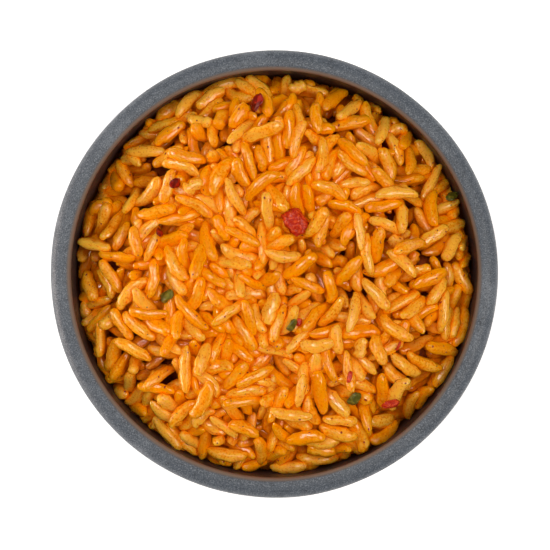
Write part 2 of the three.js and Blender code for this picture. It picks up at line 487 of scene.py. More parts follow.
def turning_tree():
    """Turns an outline round the Z axis on an uneven wheel: radius in X and height in Z of each point."""
    tree = new_tree(
        "Turned on a wheel",
        {
            "Outline": "NodeSocketGeometry",
            "Sectors": "NodeSocketInt",
            "Unevenness": "NodeSocketFloat",
            "Unevenness width": "NodeSocketFloat",
            "Material": "NodeSocketMaterial",
        },
    )
    pattern = 3.0  # which of the noise's patterns the wheel follows
    given = add_node(tree, "NodeGroupInput").outputs
    size = add_node(
        tree, "GeometryNodeAttributeDomainSize", {"component": "MESH"}, {"Geometry": given["Outline"]}
    )
    columns = add_node(tree, "ShaderNodeMath", {"operation": "ADD"}, {0: given["Sectors"], 1: 1.0})
    grid = add_node(
        tree,
        "GeometryNodeMeshGrid",
        inputs={"Vertices X": size.outputs["Point Count"], "Vertices Y": columns},
    )
    index = add_node(tree, "GeometryNodeInputIndex")
    share = add_node(tree, "ShaderNodeMath", {"operation": "DIVIDE"}, {0: index, 1: columns})
    row = add_node(tree, "ShaderNodeMath", {"operation": "FLOOR"}, {0: share})
    passed = add_node(tree, "ShaderNodeMath", {"operation": "MULTIPLY"}, {0: row, 1: columns})
    column = add_node(tree, "ShaderNodeMath", {"operation": "SUBTRACT"}, {0: index, 1: passed})
    wrapped = add_node(tree, "ShaderNodeMath", {"operation": "MODULO"}, {0: column, 1: given["Sectors"]})
    step = add_node(tree, "ShaderNodeMath", {"operation": "DIVIDE"}, {0: FULL_TURN, 1: given["Sectors"]})
    angle = add_node(tree, "ShaderNodeMath", {"operation": "MULTIPLY"}, {0: wrapped, 1: step})
    point = add_node(
        tree,
        "GeometryNodeSampleIndex",
        {"data_type": "FLOAT_VECTOR", "domain": "POINT"},
        {"Geometry": given["Outline"], "Value": add_node(tree, "GeometryNodeInputPosition"), "Index": row},
    )
    turned = add_node(
        tree, "ShaderNodeVectorRotate", {"rotation_type": "Z_AXIS"}, {"Vector": point, "Angle": angle}
    )
    scale = add_node(
        tree, "ShaderNodeMath", {"operation": "DIVIDE"}, {0: 1.0, 1: given["Unevenness width"]}
    )
    wander = add_node(
        tree,
        "ShaderNodeTexNoise",
        {"noise_dimensions": "4D"},
        {"Vector": turned, "W": pattern, "Scale": scale, "Detail": 1.0},
    )
    centred = add_node(
        tree,
        "ShaderNodeVectorMath",
        {"operation": "SUBTRACT"},
        {0: wander.outputs["Color"], 1: (0.5, 0.5, 0.5)},
    )
    outwards = add_node(
        tree,
        "ShaderNodeVectorMath",
        {"operation": "MULTIPLY"},
        {0: turned, 1: (1 / RIM_RADIUS, 1 / RIM_RADIUS, 0.5 / RIM_HEIGHT)},
    )
    shift = add_node(tree, "ShaderNodeVectorMath", {"operation": "MULTIPLY"}, {0: centred, 1: outwards})
    strength = add_node(
        tree, "ShaderNodeMath", {"operation": "MULTIPLY"}, {0: given["Unevenness"], 1: 2.0}
    )
    uneven = add_node(
        tree, "ShaderNodeVectorMath", {"operation": "SCALE"}, {"Vector": shift, "Scale": strength}
    )
    place = add_node(tree, "ShaderNodeVectorMath", {"operation": "ADD"}, {0: turned, 1: uneven})
    shaped = add_node(
        tree, "GeometryNodeSetPosition", inputs={"Geometry": grid.outputs["Mesh"], "Position": place}
    )
    closed = add_node(tree, "GeometryNodeMergeByDistance", inputs={"Geometry": shaped, "Distance": 1e-6})
    end_tree(tree, closed, given["Material"])
    return tree


def stoneware_material(dish):
    """Reduction-fired stoneware under a satin slate glaze.

    It gives the eye a soft grey that is speckled dark and light, has a painted tan reflection of the rice
    along the inner lip, painted shade on the inner and outer wall, and stops at the bare clay of the foot.
    """
    material, tree, shader, place = new_material("satin_glazed_stoneware")
    height = add_node(tree, "ShaderNodeSeparateXYZ", inputs={0: place}).outputs["Z"]
    flat = add_node(tree, "ShaderNodeVectorMath", {"operation": "MULTIPLY"}, {0: place, 1: (1, 1, 0)})
    radius = add_node(tree, "ShaderNodeVectorMath", {"operation": "LENGTH"}, {0: flat}).outputs["Value"]
    cloud_size, mottle_size, speckle_size, pit_size = 9 * MM, 1.4 * MM, 0.3 * MM, 0.8 * MM
    cloud, mottle, speckle = [
        add_node(tree, "ShaderNodeTexNoise", inputs={"Vector": place, "Scale": 1 / size, "Detail": detail})
        for size, detail in ((cloud_size, 3.0), (mottle_size, 4.0), (speckle_size, 2.0))
    ]
    pits = add_node(tree, "ShaderNodeTexVoronoi", inputs={"Vector": place, "Scale": 1 / pit_size})
    inner = RIM_RADIUS - dish.rim_width
    edge = RIM_HEIGHT - dish.outer_drop
    brink = RIM_HEIGHT - dish.inner_drop
    narrow, high, highest = [
        add_node(tree, "ShaderNodeMapRange", inputs={"Value": value, "From Min": start, "From Max": end})
        for value, start, end in (
            (radius, inner + 1.1 * MM, inner + 0.35 * MM),
            (height, 20 * MM, 24 * MM),
            (height, brink - 1.3 * MM, brink - 0.5 * MM),
        )
    ]
    # inside marks the inner wall for painted shade, and lip the inner lip for a painted reflection of the
    # rice.
    inside, lip = [
        add_node(tree, "ShaderNodeMath", {"operation": "MULTIPLY"}, {0: narrow, 1: part})
        for part in (high, highest)
    ]
    colour = mixed_colours(
        tree,
        dish.glaze,
        (
            (cloud, 0.46, 0.85, 0.4, dish.glaze_light),
            (mottle, 0.50, 0.75, 0.35, dish.glaze_speckle_and_shade),
            (speckle, 0.53, 0.66, 0.55, dish.glaze_light),
            (speckle, 0.47, 0.34, 0.6, dish.glaze_speckle_and_shade),
            (pits.outputs["Distance"], 0.18, 0.04, 0.6, dish.glaze_speckle_and_shade),
            # Painted shade on the inner wall, painted reflection of the rice on the lip, painted shade on
            # the outer wall.
            (inside, 0.0, 1.0, 0.9, dish.glaze_speckle_and_shade),
            (lip, 0.0, 1.0, 0.8, dish.lip),
            (height, edge + 0.9 * MM, edge - 0.6 * MM, 0.8, dish.glaze_speckle_and_shade),
            (height, 2.6 * MM, 1.9 * MM, 1.0, dish.clay),
        ),
    )
    bump_fine = add_node(
        tree, "ShaderNodeBump", inputs={"Height": speckle, "Strength": 0.25, "Distance": 0.12 * MM}
    )
    bump = add_node(
        tree,
        "ShaderNodeBump",
        inputs={"Height": mottle, "Strength": 0.35, "Distance": 0.25 * MM, "Normal": bump_fine},
    )
    satin = add_node(
        tree,
        "ShaderNodeMapRange",
        inputs={"Value": mottle, "From Min": 0.3, "From Max": 0.7, "To Min": 0.42, "To Max": 0.58},
    )
    set_inputs(tree, shader, {"Base Color": colour, "Normal": bump, "Roughness": satin, "IOR": 1.5})
    return material


# ---- The heap: its surface, its core, and how its grains settle -----------------------------------


def hollowness(x, y):
    """How much of a hollow there is beside the wall in each point's direction, from 0 to 1."""
    azimuth = np.degrees(np.arctan2(y, x))
    away = [((azimuth - middle + 180) % 360 - 180) / half for middle, half in WALL_HOLLOWS.values()]
    return np.clip(sum(np.exp(-(share**2)) for share in away), 0, 1)


class HeapSurface:
    """The smooth surface of the heap, read off the frame's solid and freed of its relief."""

    step = 1.5 * MM
    smoothing = 2.6 * MM
    smoothing_steps = 3  # of the grid, to each side
    mound_size = 6.5 * MM
    mound_height = 5 * MM
    fall = 5.5 * MM  # how much deeper the core lies at the wall
    fall_width = 7 * MM
    hollow_fall = 1.4  # how much further it falls in a hollow, as a share

    def __init__(self, edge, depth):
        self.edge, self.depth = edge, depth
        solid = frame["nodes"]["rice_heap"].data
        tree = BVHTree.FromPolygons(
            [v.co.copy() for v in solid.vertices], [tuple(p.vertices) for p in solid.polygons]
        )
        reach = RIM_RADIUS + 6 * MM
        self.axis = np.arange(-reach, reach, self.step)
        heights = np.empty((len(self.axis), len(self.axis)))
        above = CAD_BOX[1].z + 10 * MM
        for i, x in enumerate(self.axis):
            for j, y in enumerate(self.axis):
                inwards = min(1.0, edge / max(math.hypot(x, y), 1e-9))
                hit = tree.ray_cast(Vector((x * inwards, y * inwards, above)), Vector((0, 0, -1)))[0]
                heights[i, j] = hit.z if hit else RIM_HEIGHT
        wide = self.smoothing_steps
        span = np.arange(-wide, wide + 1) * self.step / self.smoothing
        weights = np.exp(-(span**2))
        weights /= weights.sum()
        for axis in (0, 1):
            padded = np.pad(heights, [(wide, wide) if a == axis else (0, 0) for a in (0, 1)], mode="edge")
            heights = sum(
                w * np.take(padded, np.arange(k, k + len(self.axis)), axis=axis)
                for k, w in enumerate(weights)
            )
        self.heights = heights
        self.mounds = self.mound_height * np.array(
            [[noise.noise(Vector((x, y, 0)) / self.mound_size) for y in self.axis] for x in self.axis]
        )

    def between(self, grid, x, y):
        """What a grid of heights holds at each point, read between its own points."""
        last = len(self.axis) - 1.001
        u = np.clip((x - self.axis[0]) / self.step, 0, last)
        v = np.clip((y - self.axis[0]) / self.step, 0, last)
        i, j = u.astype(int), v.astype(int)
        fu, fv = u - i, v - j
        low = grid[i, j] * (1 - fu) + grid[i + 1, j] * fu
        high = grid[i, j + 1] * (1 - fu) + grid[i + 1, j + 1] * fu
        return low * (1 - fv) + high * fv

    def height(self, x, y):
        """The smooth surface's height at each point."""
        return self.between(self.heights, x, y)

    def core(self, x, y):
        """The core's height at each point: in mounds, and lower where the heap falls away at the wall."""
        beside = np.clip((np.hypot(x, y) - self.edge + self.fall_width) / self.fall_width, 0, 1)
        mounds = self.between(self.mounds, x, y) * (1 - beside)
        fall = self.fall * (1 + self.hollow_fall * hollowness(x, y))
        return self.height(x, y) - self.depth + mounds - fall * beside**2

    def core_normal(self, x, y):
        """The core's upward unit normal at each point."""
        d = self.step
        slope_x = (self.core(x + d, y) - self.core(x - d, y)) / (2 * d)
        slope_y = (self.core(x, y + d) - self.core(x, y - d)) / (2 * d)
        normal = np.stack([-slope_x, -slope_y, np.ones_like(slope_x)], axis=1)
        return normal / np.linalg.norm(normal, axis=1)[:, None]


def wall_radius(dish, z):
    """How far the grains may reach outwards at each height: to the glaze."""
    inner = RIM_RADIUS - dish.rim_width
    lip = RIM_HEIGHT - dish.inner_drop
    lean = np.clip((z - dish.shoulder) / (lip - dish.shoulder), 0, 1)
    return inner - dish.taper * (1 - lean) - 0.1 * MM


def near_pairs(points, reach):
    """Pairs of the points that lie within reach of each other, found through a grid of cells that wide."""
    cells = np.floor(points / reach).astype(np.int64)
    cells -= cells.min(axis=0) - 1
    span = cells.max(axis=0) + 2
    strides = np.array([span[1] * span[2], span[2], 1])
    keys = cells @ strides
    order = np.argsort(keys, kind="stable")
    ordered = keys[order]
    everyone = np.arange(len(points))
    found = []
    around = [(x, y, z) for x in (-1, 0, 1) for y in (-1, 0, 1) for z in (-1, 0, 1)]
    for way in around[len(around) // 2 :]:
        target = keys + np.dot(way, strides)
        first = np.searchsorted(ordered, target, "left")
        count = np.searchsorted(ordered, target, "right") - first
        one = np.repeat(everyone, count)
        within = np.arange(count.sum()) - np.repeat(np.cumsum(count) - count, count)
        other = order[np.repeat(first, count) + within]
        keep = one < other if way == (0, 0, 0) else slice(None)
        found.append(np.stack([one[keep], other[keep]]))
    one, other = np.concatenate(found, axis=1)
    near = ((points[one] - points[other]) ** 2).sum(axis=1) < reach**2
    return one[near], other[near]


class Settling:
    """Grains that sink together until they rest on the core, the wall and each other.

    Each grain is a rigid row of beads. In every step all grains sink a little. Then beads that overlap push
    each other apart and hold each other by friction, and a grain takes the pushes on its beads as a shift
    and a turn. Nothing bounces, and it is the same at every run.
    """

    stations = np.array([-0.78, -0.42, 0.0, 0.42, 0.78])  # of the beads, as shares of half the length
    fullness = np.array([0.8, 0.97, 1.0, 0.97, 0.8])  # of the beads, as shares of the middle one
    friction = 0.9
    stickiness = 8  # how much harder a grain turns than a dry rod would
    crowding = 0.3  # how much each further push on a grain weakens the others
    pair_steps = 3  # how many steps a list of near beads serves
    push_rounds = 2  # how often beads are pushed apart in a step
    contact = 0.15 * MM  # how near beads count as touching

    def __init__(self, grains, core_height, core_normal, wall, fixed_beads):
        self.centre, self.heading = grains["centre"], grains["heading"]
        self.reach = self.stations * grains["length"][:, None] / 2
        radii = self.fullness * grains["radius"][:, None]
        self.owner = np.repeat(np.arange(len(self.centre)), len(self.stations))
        self.owners = np.concatenate([self.owner, np.full(len(fixed_beads), -1)])
        along = self.reach.ravel()
        length = np.repeat(grains["length"], len(self.stations))
        slenderness = 12 / self.stickiness / length**2
        self.shift_share = 1 / (1 + slenderness * along**2)
        self.turn_share = self.shift_share * slenderness * along
        self.radii = np.concatenate([radii.ravel(), [r for _, r in fixed_beads]])
        self.fixed = np.array([p for p, _ in fixed_beads])
        self.loose = len(along)
        self.core_height, self.core_normal, self.wall = core_height, core_normal, wall

    def beads(self):
        """Where every bead is, the fixed ones last."""
        rows = self.centre[:, None] + self.reach[..., None] * self.heading[:, None]
        return np.concatenate([rows.reshape(-1, 3), self.fixed])

    def held(self, moved, normal, depth):
        """The part of a sliding move that friction takes back."""
        slide = moved - (moved * normal).sum(axis=1, keepdims=True) * normal
        distance = np.linalg.norm(slide, axis=1) + 1e-12
        return slide * np.minimum(1, self.friction * depth / distance)[:, None]

    def pushes(self, before, pairs):
        """Every push on a loose bead: which bead, and how far it has to move."""
        beads = self.beads()
        moved = beads - before
        one, other = pairs
        apart = beads[one] - beads[other]
        distance = np.linalg.norm(apart, axis=1) + 1e-12
        depth = self.radii[one] + self.radii[other] - distance
        hit = depth > 0
        one, other, depth = one[hit], other[hit], depth[hit]
        normal = apart[hit] / distance[hit, None]
        push = (depth[:, None] * normal - self.held(moved[one] - moved[other], normal, depth)) / 2
        which, push = [one, other], [push, -push]
        x, y, z = beads[: self.loose].T
        radii = self.radii[: self.loose]
        up = self.core_normal(x, y)
        outwards = np.hypot(x, y)
        inwards = np.stack([-x / outwards, -y / outwards, np.zeros_like(x)], axis=1)
        for normal, depth in (
            (up, (self.core_height(x, y) + radii - z) * up[:, 2]),
            (inwards, outwards + radii - self.wall(z)),
        ):
            hit = np.nonzero(depth > 0)[0]
            which.append(hit)
            push.append(depth[hit, None] * normal[hit] - self.held(moved[hit], normal[hit], depth[hit]))
        which, push = np.concatenate(which), np.concatenate(push)
        free = which < self.loose
        return which[free], push[free]

    def summed(self, which, values):
        """The values summed over each grain's beads."""
        return np.bincount(self.owner[which], values, minlength=len(self.centre))

    def run(self, plan):
        """Sinks the grains: the plan lists how many steps, and how far each of them sinks."""
        margin = 2 * self.radii.max() + 0.5 * MM
        step = 0
        for steps, sink in plan:
            for _ in range(steps):
                before = self.beads()
                if step % self.pair_steps == 0:
                    one, other = near_pairs(before, margin)
                    apart = self.owners[one] != self.owners[other]
                    pairs = one[apart], other[apart]
                self.centre[:, 2] -= sink
                for _ in range(self.push_rounds):
                    which, push = self.pushes(before, pairs)
                    crowd = self.summed(which, np.ones(len(which)))
                    ease = 1 / (1 + self.crowding * np.maximum(crowd - 1, 0))
                    for axis in range(3):
                        along = push[:, axis]
                        self.centre[:, axis] += ease * self.summed(which, along * self.shift_share[which])
                        self.heading[:, axis] += ease * self.summed(which, along * self.turn_share[which])
                    self.heading /= np.linalg.norm(self.heading, axis=1)[:, None]
                step += 1
        self.move_inside()

    def lying(self, surface_height, most_above):
        """Which grains lie in the heap, neither jammed in a pile on top of it nor clear of all others."""
        beads = self.beads()
        x, y, z = beads[: self.loose].T
        above = z + self.radii[: self.loose] - surface_height(x, y)
        low = above.reshape(self.reach.shape).max(axis=1) < most_above
        one, other = near_pairs(beads, 2 * self.radii.max() + self.contact)
        gap = np.linalg.norm(beads[one] - beads[other], axis=1) - self.radii[one] - self.radii[other]
        close = (gap < self.contact) & (self.owners[one] != self.owners[other])
        met = np.concatenate([self.owners[one[close]], self.owners[other[close]]])
        return low & (np.bincount(met[met >= 0], minlength=len(low)) > 1)

    def move_inside(self):
        """Moves the grains that were crowded out over the rim back inwards, whole."""
        x, y, z = self.beads()[: self.loose].T
        over = np.hypot(x, y) + self.radii[: self.loose] - self.wall(z)
        over = over.reshape(self.reach.shape).max(axis=1).clip(min=0)
        flat = self.centre[:, :2]
        flat -= flat * (over / np.linalg.norm(flat, axis=1))[:, None]


TOMATO_SIZE = Vector((6.2, 4.6, 3.8)) * MM
TOMATO_HEADING = math.radians(-52)
TOMATO_TILT = math.radians(9)


def tomato_place():
    """Middle and turn of the large piece of tomato, in the place that the frame gives it."""
    turn = Matrix.Rotation(TOMATO_HEADING, 4, "Z") @ Matrix.Rotation(TOMATO_TILT, 4, "X")
    return (TOMATO_LOW + TOMATO_HIGH) / 2, turn


def tomato_beads():
    """Fixed beads that fill the tomato piece, and a column above it that keeps it in sight."""
    middle, turn = tomato_place()
    radius = TOMATO_SIZE.z / 2
    beads = []
    for x in (-1, -0.33, 0.33, 1):
        for y in (-1, 1):
            inside = Vector((x * (TOMATO_SIZE.x / 2 - radius), y * (TOMATO_SIZE.y / 2 - radius), 0))
            beads.append((middle + turn @ inside, radius))
    column_radius, column_beads = 1.2 * MM, 13
    for k in range(1, column_beads + 1):
        beads.append((middle + Vector((0, 0, k * column_radius)), column_radius))
    return [(np.array(place), radius) for place, radius in beads]


def crowded_places(rice, edge, random):
    """Where grains start, seen from above: fewer towards the wall, and in clumps and hollows."""
    clump_size, thinning_width = 13 * MM, 12 * MM
    usual_crowd = 0.62
    places = []
    while len(places) < rice.grains:
        outwards, azimuth = edge * math.sqrt(random.random()), FULL_TURN * random.random()
        x, y = outwards * math.cos(azimuth), outwards * math.sin(azimuth)
        clump = noise.noise(Vector((x, y, rice.seed * MM)) / clump_size)
        thinning = max(0.0, 1 - (edge - outwards) / thinning_width)
        crowd = (1 - rice.edge_thinning * thinning) * (1 - thinning * hollowness(x, y))
        if random.random() < crowd * (usual_crowd + rice.clumping * clump):
            places.append((x, y))
    return np.array(places).T


def scattered_grains(rice, surface, edge, random):
    """Loose grains in the air above the core, each with its own size as a share, before they sink."""
    count = rice.grains
    broken_share = 0.07
    bead_share = 0.9  # of the grain's mean radius, because grains are soft and press into each other
    # Shares of the mean sizes: how much each one varies, and its least and its most.
    length = np.clip(random.normal(1.0, 0.11, count), 0.7, 1.25)
    width = np.clip(random.normal(1.0, 0.09, count), 0.8, 1.22)
    thickness = np.clip(width * random.normal(1.0, 0.06, count), 0.8, 1.2)
    broken = random.random(count) < broken_share
    length = np.where(broken, length * random.uniform(0.5, 0.75, count), length)
    x, y = crowded_places(rice, edge, random)
    clear, air = 2 * MM, 26 * MM
    z = surface.core(x, y) + clear + air * random.random(count)
    heading = random.normal(0, 1, (count, 3))
    return {
        "centre": np.stack([x, y, z], axis=1),
        "heading": heading / np.linalg.norm(heading, axis=1)[:, None],
        "length": length * rice.grain_length,
        "radius": bead_share * (width * rice.grain_width + thickness * rice.grain_thickness) / 4,
        "size": np.stack([length, width, thickness], axis=1),
        "broken": broken,
    }


def core_mesh(dish, surface):
    """The closed core: the bowl's filling up to the loose grains, with a lumpy top."""
    sectors, rings = 128, 30
    gap = 0.3 * MM
    wall_top = 30 * MM
    edge = RIM_RADIUS - dish.rim_width - dish.taper - gap
    angles = np.arange(sectors) * FULL_TURN / sectors
    lump_size, lump_height, lump_level = 4.2 * MM, 1.6 * MM, 0.4
    points = [(0, 0, dish.recess + dish.floor + gap)]
    wall = [(r - gap, z + gap) for r, z in reversed(inner_wall(dish, 12)) if 0 < r and z < wall_top]
    for r, z in wall:
        points += [(r * math.cos(a), r * math.sin(a), z) for a in angles]
    for ring in range(rings):
        r = edge * (1 - ring / rings)
        x, y = r * np.cos(angles), r * np.sin(angles)
        for px, py, pz in zip(x, y, surface.core(x, y)):
            lump = noise.noise(Vector((px, py, pz)) / lump_size) - lump_level
            points.append((px, py, pz + lump_height * min(0, lump)))
    points.append((0, 0, float(surface.core(np.zeros(1), np.zeros(1))[0])))
    return ringed_mesh("rice_core", points, len(wall) + rings, sectors)


# ---- The grains -----------------------------------------------------------------------------------


def grain_mesh(name, bend, tip, blunt, groove, lumps, seed):
    """A cooked grain one metre long, wide and thick, for the tree to bring to size.

    bend curves it sideways, tip and blunt are the exponents of its two ends, groove opens the seam along
    its top, and lumps leaves its sides uneven.
    """
    around, rings = 8, 9
    top_line = 0.95
    random = np.random.default_rng(seed)
    swell = 1 + lumps * random.uniform(-1, 1, (rings, around))
    lean = lumps * random.uniform(-1, 1, (rings, 2))
    points = [(-0.5, bend * 0.5, 0)]
    for i in range(rings):
        u = -math.cos(math.pi * (i + 1) / (rings + 1))
        power = tip if u < 0 else blunt
        full = (1 - abs(u) ** power) ** (1 / power)
        for k in range(around):
            angle = FULL_TURN * (k + 0.5 * (groove == 0)) / around
            side, top = math.cos(angle), math.sin(angle)
            seam = 1 - groove * (top > top_line) * (1 - u * u)
            reach = 0.5 * full * swell[i, k] * seam
            y = reach * side + bend * (u * u - 0.5) + 0.5 * lean[i, 0]
            points.append((u / 2, y, reach * top + 0.5 * lean[i, 1]))
    points.append((0.5, bend * 0.5, 0))
    mesh = ringed_mesh(name, points, rings, around)
    local = mesh.attributes.new("grain_place", "FLOAT_VECTOR", "POINT")
    local.data.foreach_set("vector", np.array([v.co for v in mesh.vertices]).ravel())
    return mesh


# Each kind of grain and its shapes, each with its bend, tip, blunt, groove and lumps as in grain_mesh.
GRAIN_KINDS = {
    "rice_grains_straight": [
        (0.05, 2.0, 2.7, 0.0, 0.12),
        (-0.10, 2.3, 2.5, 0.0, 0.14),
        (0.10, 2.4, 3.0, 0.0, 0.12),
        (0.0, 2.1, 3.2, 0.22, 0.10),
    ],
    "rice_grains_curved": [
        (0.24, 2.0, 2.6, 0.0, 0.12),
        (-0.28, 2.3, 2.5, 0.0, 0.14),
        (0.34, 1.9, 2.8, 0.0, 0.12),
        (-0.22, 2.5, 2.8, 0.24, 0.10),
    ],
    "rice_grains_split": [
        (0.10, 2.3, 3.2, 0.42, 0.14),
        (-0.16, 2.6, 3.0, 0.36, 0.16),
    ],
    "rice_grains_broken": [
        (0.06, 2.3, 4.0, 0.0, 0.16),
        (-0.10, 2.5, 3.6, 0.18, 0.18),
        (0.14, 2.1, 4.5, 0.0, 0.18),
    ],
}
CURVED_SHARE = 0.42
SPLIT_SHARE = 0.1


def grain_kind(broken, chance):
    """Which kind of grain this one is."""
    if broken:
        return "rice_grains_broken"
    if chance < SPLIT_SHARE:
        return "rice_grains_split"
    return "rice_grains_curved" if chance < SPLIT_SHARE + CURVED_SHARE else "rice_grains_straight"


def scattering_tree():
    """Puts one of a collection's shapes on each point, turned and sized by the point's attributes."""
    tree = new_tree(
        "Scattered shapes",
        {
            "Points": "NodeSocketGeometry",
            "Shapes": "NodeSocketCollection",
            "Length": "NodeSocketFloat",
            "Width": "NodeSocketFloat",
            "Thickness": "NodeSocketFloat",
            "Material": "NodeSocketMaterial",
        },
    )
    given = add_node(tree, "NodeGroupInput").outputs
    shapes = add_node(
        tree,
        "GeometryNodeCollectionInfo",
        inputs={"Collection": given["Shapes"], "Separate Children": True, "Reset Children": True},
    )
    true_size = add_node(
        tree,
        "ShaderNodeCombineXYZ",
        inputs={"X": given["Length"], "Y": given["Width"], "Z": given["Thickness"]},
    )
    share = add_node(
        tree, "GeometryNodeInputNamedAttribute", {"data_type": "FLOAT_VECTOR"}, {"Name": "size_share"}
    )
    size = add_node(tree, "ShaderNodeVectorMath", {"operation": "MULTIPLY"}, {0: true_size, 1: share})
    turn = add_node(tree, "GeometryNodeInputNamedAttribute", {"data_type": "QUATERNION"}, {"Name": "turn"})
    shape = add_node(tree, "GeometryNodeInputNamedAttribute", {"data_type": "INT"}, {"Name": "shape"})
    placed = add_node(
        tree,
        "GeometryNodeInstanceOnPoints",
        inputs={
            "Points": given["Points"],
            "Instance": shapes,
            "Pick Instance": True,
            "Instance Index": shape,
            "Rotation": turn,
            "Scale": size,
        },
    )
    end_tree(tree, placed, given["Material"])
    return tree


def hidden_collection(name, meshes):
    """A collection of shapes for a tree to use, which isn't in the scene."""
    collection = bpy.data.collections.new(name)
    for mesh in meshes:
        collection.objects.link(bpy.data.objects.new(mesh.name, mesh))
    return collection


def discard_collection(collection):
    """Removes a collection and its shapes once they have been used."""
    for shape in list(collection.objects):
        mesh = shape.data
        bpy.data.objects.remove(shape)
        bpy.data.meshes.remove(mesh)
    bpy.data.collections.remove(collection)


def point_cloud(name, places, attributes):
    """A mesh of loose points that carry attributes: name to kind, field and values."""
    mesh = mesh_of(name, places, [])
    for label, (kind, field, values) in attributes.items():
        layer = mesh.attributes.new(label, kind, "POINT")
        layer.data.foreach_set(field, np.asarray(values).ravel())
    return mesh


def grain_turn(heading, roll):
    """The turn that lays a grain along its heading, with its flat side up and then rolled."""
    along = Vector(heading)
    side = Vector((0, 0, 1)).cross(along)
    side = side.normalized() if side.length > 1e-6 else Vector((0, 1, 0))
    lying = Matrix((along, side, along.cross(side))).transposed()
    return (lying @ Matrix.Rotation(roll, 3, "X")).to_quaternion()


def mark_hidden(pieces, settling, surface):
    """Writes at each point of the grains how hidden it is.

    touch is how near another grain comes, 1 where they touch. depth is how far it lies below the heap's
    smooth surface, 1 at the deepest that shows. The rice material paints shade by depth and a glow by
    touch.
    """
    far, deep = 1.3 * MM, 4.5 * MM
    neighbours = 10
    beads = settling.beads()[: settling.loose]
    tree = KDTree(len(beads))
    for i, place in enumerate(beads):
        tree.insert(place, i)
    tree.balance()
    for piece in pieces:
        mesh = piece.data
        own = np.empty(len(mesh.vertices), dtype=np.int32)
        mesh.attributes["grain"].data.foreach_get("value", own)
        touch = []
        for vert, grain in zip(mesh.vertices, own):
            near = tree.find_n(vert.co, neighbours)
            gaps = [d - settling.radii[i] for _, i, d in near if settling.owner[i] != grain]
            touch.append(1 - min(1, max(0, min(gaps, default=far)) / far))
        x, y, z = np.array([vert.co for vert in mesh.vertices]).T
        depth = np.clip((surface.height(x, y) - z) / deep, 0, 1)
        for label, values in (("touch", touch), ("depth", depth)):
            mesh.attributes.new(label, "FLOAT", "POINT").data.foreach_set("value", values)
        for label in ("grain", "turn", "size_share", "shape"):
            mesh.attributes.remove(mesh.attributes[label])


